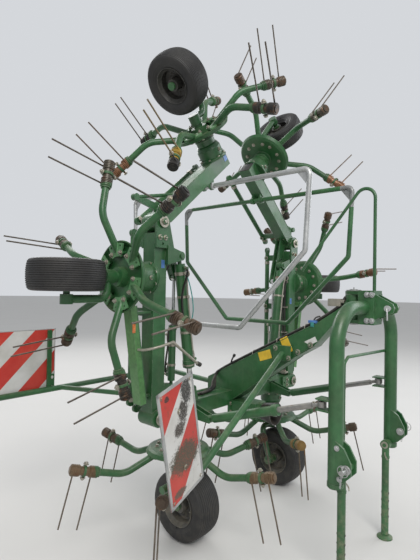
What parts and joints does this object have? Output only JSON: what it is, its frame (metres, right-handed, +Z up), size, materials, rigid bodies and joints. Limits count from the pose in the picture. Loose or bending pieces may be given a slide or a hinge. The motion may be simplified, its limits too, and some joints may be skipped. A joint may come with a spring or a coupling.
{
  "type": "hay tedder",
  "caption": "Mounted hay tedder with tined rotors on a folding beam, wings folded upright for the road, guards, warning boards and a swivelling headstock.",
  "frame": {"origin": "on the ground below the middle of the folded machine's box", "axes": "+Z up, -Y the direction of travel, +X the machine's left side"},
  "size_m": [3.16, 2.0145, 3.4477],
  "materials": {
    "green_paint": "worn dark green paint",
    "galvanised": "dull galvanised tube",
    "grey_steel": "bare grey steel",
    "rod_chrome": "bright rod, dusty",
    "tyre": "ribbed tyre, dusty",
    "board_paint": "red and white slanted stripes, worn"
  },
  "bodies": {
    "frame": {"centre_beam": "green_paint", "boom": "green_paint", "main_gearbox": "green_paint", "centre_wheel_arms": "green_paint", "board_frames": "green_paint", "front_board": "board_paint", "rear_board": "board_paint"},
    "headstock": {"headstock_arch": "green_paint", "headstock_head": "green_paint"},
    "stand_left": {"stand_left": "green_paint"},
    "damper_tube_left": {"damper_tube_left": "green_paint"},
    "damper_rod_left": {"damper_rod_left": "grey_steel"},
    "inner_wing_left": {"inner_beam_left": "green_paint", "inner_wheel_arm_left": "green_paint"},
    "fold_barrel_left": {"fold_barrel_left": "green_paint"},
    "fold_rod_left": {"fold_rod_left": "rod_chrome"},
    "outer_wing_left": {"outer_beam_left": "green_paint", "outer_wheel_arm_left": "green_paint"},
    "outer_barrel_left": {"outer_barrel_left": "green_paint"},
    "outer_rod_left": {"outer_rod_left": "rod_chrome"},
    "guard_left": {"guard_left": "green_paint"},
    "stand_right": {"stand_right": "green_paint"},
    "damper_tube_right": {"damper_tube_right": "green_paint"},
    "damper_rod_right": {"damper_rod_right": "grey_steel"},
    "inner_wing_right": {"inner_beam_right": "green_paint", "inner_wheel_arm_right": "green_paint"},
    "fold_barrel_right": {"fold_barrel_right": "green_paint"},
    "fold_rod_right": {"fold_rod_right": "rod_chrome"},
    "outer_wing_right": {"outer_beam_right": "green_paint", "outer_wheel_arm_right": "green_paint"},
    "outer_barrel_right": {"outer_barrel_right": "green_paint"},
    "outer_rod_right": {"outer_rod_right": "rod_chrome"},
    "guard_right": {"guard_right": "galvanised"},
    "rotor_centre_right": {"rotor_centre_right": "green_paint"},
    "wheel_centre_right": {"wheel_centre_right": "tyre"},
    "rotor_centre_left": {"rotor_centre_left": "green_paint"},
    "wheel_centre_left": {"wheel_centre_left": "tyre"},
    "rotor_middle_right": {"rotor_middle_right": "green_paint"},
    "wheel_middle_right": {"wheel_middle_right": "tyre"},
    "rotor_middle_left": {"rotor_middle_left": "green_paint"},
    "wheel_middle_left": {"wheel_middle_left": "tyre"},
    "rotor_outer_right": {"rotor_outer_right": "green_paint"},
    "wheel_outer_right": {"wheel_outer_right": "tyre"},
    "rotor_outer_left": {"rotor_outer_left": "green_paint"},
    "wheel_outer_left": {"wheel_outer_left": "tyre"}
  },
  "joints": [
    {"name": "headstock_swivel", "type": "hinge", "parent": "frame", "child": "headstock", "pos_m": [0, -0.7543, 1.5], "axis": [0, 0, 1], "range_deg": [-12, 12]},
    {"name": "stand_fold_left", "type": "hinge", "parent": "headstock", "child": "stand_left", "pos_m": [0.33, -0.8393, 0.6], "axis": [-1, 0, 0], "range_deg": [0, 105]},
    {"name": "damper_tilt_left", "type": "hinge", "parent": "frame", "child": "damper_tube_left", "pos_m": [0.48, -0.0193, 0.765], "axis": [1, 0, 0], "range_deg": [-3, 3]},
    {"name": "damper_slide_left", "type": "slide", "parent": "damper_tube_left", "child": "damper_rod_left", "axis": [-0.0902, -0.9539, 0.2862], "range_m": [-0.1, 0.1]},
    {"name": "inner_fold_left", "type": "hinge", "parent": "frame", "child": "inner_wing_left", "pos_m": [0.78, 0.1907, 0.8], "axis": [0, 1, 0], "range_deg": [0, 90]},
    {"name": "outer_fold_left", "type": "hinge", "parent": "inner_wing_left", "child": "outer_wing_left", "pos_m": [0.78, 0.1907, 2], "axis": [0, 1, 0], "range_deg": [0, 49.01]},
    {"name": "guard_swing_left", "type": "hinge", "parent": "outer_wing_left", "child": "guard_left", "pos_m": [0.30035, 0.1907, 2.31095], "axis": [0, 1, 0], "range_deg": [0, 131.01]},
    {"name": "fold_barrel_tilt_left", "type": "hinge", "parent": "inner_wing_left", "child": "fold_barrel_left", "pos_m": [0.612, 0.1507, 1.8], "axis": [0, 1, 0], "range_deg": [-10.32, 0]},
    {"name": "fold_rod_slide_left", "type": "slide", "parent": "fold_barrel_left", "child": "fold_rod_left", "axis": [-0.15, 0, -0.9887], "range_m": [0, 0.4211]},
    {"name": "outer_barrel_tilt_left", "type": "hinge", "parent": "inner_wing_left", "child": "outer_barrel_left", "pos_m": [0.6, 0.2157, 0.95], "axis": [0, 1, 0], "range_deg": [-10.66, 0]},
    {"name": "outer_rod_slide_left", "type": "slide", "parent": "outer_barrel_left", "child": "outer_rod_left", "axis": [-0.0149, 0, 0.9999], "range_m": [0, 0.2795]},
    {"name": "stand_fold_right", "type": "hinge", "parent": "headstock", "child": "stand_right", "pos_m": [-0.33, -0.8393, 0.6], "axis": [-1, 0, 0], "range_deg": [0, 105]},
    {"name": "damper_tilt_right", "type": "hinge", "parent": "frame", "child": "damper_tube_right", "pos_m": [-0.48, -0.0193, 0.765], "axis": [1, 0, 0], "range_deg": [-3, 3]},
    {"name": "damper_slide_right", "type": "slide", "parent": "damper_tube_right", "child": "damper_rod_right", "axis": [0.0902, -0.9539, 0.2862], "range_m": [-0.1, 0.1]},
    {"name": "inner_fold_right", "type": "hinge", "parent": "frame", "child": "inner_wing_right", "pos_m": [-0.78, 0.1907, 0.8], "axis": [0, -1, 0], "range_deg": [0, 90]},
    {"name": "outer_fold_right", "type": "hinge", "parent": "inner_wing_right", "child": "outer_wing_right", "pos_m": [-0.78, 0.1907, 2], "axis": [0, -1, 0], "range_deg": [0, 49.01]},
    {"name": "guard_swing_right", "type": "hinge", "parent": "outer_wing_right", "child": "guard_right", "pos_m": [-0.30035, 0.1907, 2.31095], "axis": [0, -1, 0], "range_deg": [0, 131.01]},
    {"name": "fold_barrel_tilt_right", "type": "hinge", "parent": "inner_wing_right", "child": "fold_barrel_right", "pos_m": [-0.612, 0.1507, 1.8], "axis": [0, -1, 0], "range_deg": [-10.32, 0]},
    {"name": "fold_rod_slide_right", "type": "slide", "parent": "fold_barrel_right", "child": "fold_rod_right", "axis": [0.15, 0, -0.9887], "range_m": [0, 0.4211]},
    {"name": "outer_barrel_tilt_right", "type": "hinge", "parent": "inner_wing_right", "child": "outer_barrel_right", "pos_m": [-0.6, 0.2157, 0.95], "axis": [0, -1, 0], "range_deg": [-10.66, 0]},
    {"name": "outer_rod_slide_right", "type": "slide", "parent": "outer_barrel_right", "child": "outer_rod_right", "axis": [0.0149, 0, 0.9999], "range_m": [0, 0.2795]},
    {"name": "rotor_turn_centre_right", "type": "hinge", "parent": "frame", "child": "rotor_centre_right", "pos_m": [-0.545, 0.1907, 0.555], "axis": [0, 0, 1], "continuous": true},
    {"name": "rotor_turn_centre_left", "type": "hinge", "parent": "frame", "child": "rotor_centre_left", "pos_m": [0.545, 0.1907, 0.555], "axis": [0, 0, 1], "continuous": true},
    {"name": "rotor_turn_middle_right", "type": "hinge", "parent": "inner_wing_right", "child": "rotor_middle_right", "pos_m": [-1.025, 0.1907, 1.655], "axis": [1, 0, 0], "continuous": true},
    {"name": "rotor_turn_middle_left", "type": "hinge", "parent": "inner_wing_left", "child": "rotor_middle_left", "pos_m": [1.025, 0.1907, 1.655], "axis": [-1, 0, 0], "continuous": true},
    {"name": "rotor_turn_outer_right", "type": "hinge", "parent": "outer_wing_right", "child": "rotor_outer_right", "pos_m": [-0.37848, 0.1907, 2.67367], "axis": [0.6561, 0, -0.7547], "continuous": true},
    {"name": "rotor_turn_outer_left", "type": "hinge", "parent": "outer_wing_left", "child": "rotor_outer_left", "pos_m": [0.37848, 0.1907, 2.67367], "axis": [-0.6561, 0, -0.7547], "continuous": true},
    {"name": "wheel_turn_centre_right", "type": "hinge", "parent": "frame", "child": "wheel_centre_right", "pos_m": [-0.545, 0.1107, 0.22], "axis": [1, 0, 0], "continuous": true},
    {"name": "wheel_turn_centre_left", "type": "hinge", "parent": "frame", "child": "wheel_centre_left", "pos_m": [0.545, 0.1107, 0.22], "axis": [1, 0, 0], "continuous": true},
    {"name": "wheel_turn_middle_right", "type": "hinge", "parent": "inner_wing_right", "child": "wheel_middle_right", "pos_m": [-1.38, 0.1907, 1.655], "axis": [0, 0, -1], "continuous": true},
    {"name": "wheel_turn_middle_left", "type": "hinge", "parent": "inner_wing_left", "child": "wheel_middle_left", "pos_m": [1.38, 0.1907, 1.655], "axis": [0, 0, 1], "continuous": true},
    {"name": "wheel_turn_outer_right", "type": "hinge", "parent": "outer_wing_right", "child": "wheel_outer_right", "pos_m": [-0.61138, 0.1907, 2.94159], "axis": [-0.7547, 0, -0.6561], "continuous": true},
    {"name": "wheel_turn_outer_left", "type": "hinge", "parent": "outer_wing_left", "child": "wheel_outer_left", "pos_m": [0.61138, 0.1907, 2.94159], "axis": [-0.7547, 0, 0.6561], "continuous": true}
  ],
  "couplings": [
    {"joint": "damper_tilt_left", "follows": "headstock_swivel", "ratio": -0.15308},
    {"joint": "damper_slide_left", "follows": "headstock_swivel", "m_per_rad": -0.38811},
    {"joint": "outer_fold_left", "follows": "inner_fold_left", "ratio": 0.54444},
    {"joint": "guard_swing_left", "follows": "inner_fold_left", "ratio": 1.4556},
    {"joint": "fold_barrel_tilt_left", "follows": "inner_fold_left", "ratio": -0.11446},
    {"joint": "fold_rod_slide_left", "follows": "inner_fold_left", "m_per_rad": 0.26776},
    {"joint": "outer_barrel_tilt_left", "follows": "inner_fold_left", "ratio": -0.11821},
    {"joint": "outer_rod_slide_left", "follows": "inner_fold_left", "m_per_rad": 0.17761},
    {"joint": "damper_tilt_right", "follows": "headstock_swivel", "ratio": 0.15308},
    {"joint": "damper_slide_right", "follows": "headstock_swivel", "m_per_rad": 0.38811},
    {"joint": "outer_fold_right", "follows": "inner_fold_right", "ratio": 0.54444},
    {"joint": "guard_swing_right", "follows": "inner_fold_right", "ratio": 1.4556},
    {"joint": "fold_barrel_tilt_right", "follows": "inner_fold_right", "ratio": -0.11446},
    {"joint": "fold_rod_slide_right", "follows": "inner_fold_right", "m_per_rad": 0.26776},
    {"joint": "outer_barrel_tilt_right", "follows": "inner_fold_right", "ratio": -0.11821},
    {"joint": "outer_rod_slide_right", "follows": "inner_fold_right", "m_per_rad": 0.17761},
    {"joint": "rotor_turn_centre_left", "follows": "rotor_turn_centre_right", "ratio": -1},
    {"joint": "rotor_turn_middle_right", "follows": "rotor_turn_centre_right", "ratio": -1},
    {"joint": "rotor_turn_middle_left", "follows": "rotor_turn_centre_right", "ratio": 1},
    {"joint": "rotor_turn_outer_right", "follows": "rotor_turn_centre_right", "ratio": 1},
    {"joint": "rotor_turn_outer_left", "follows": "rotor_turn_centre_right", "ratio": -1}
  ]
}
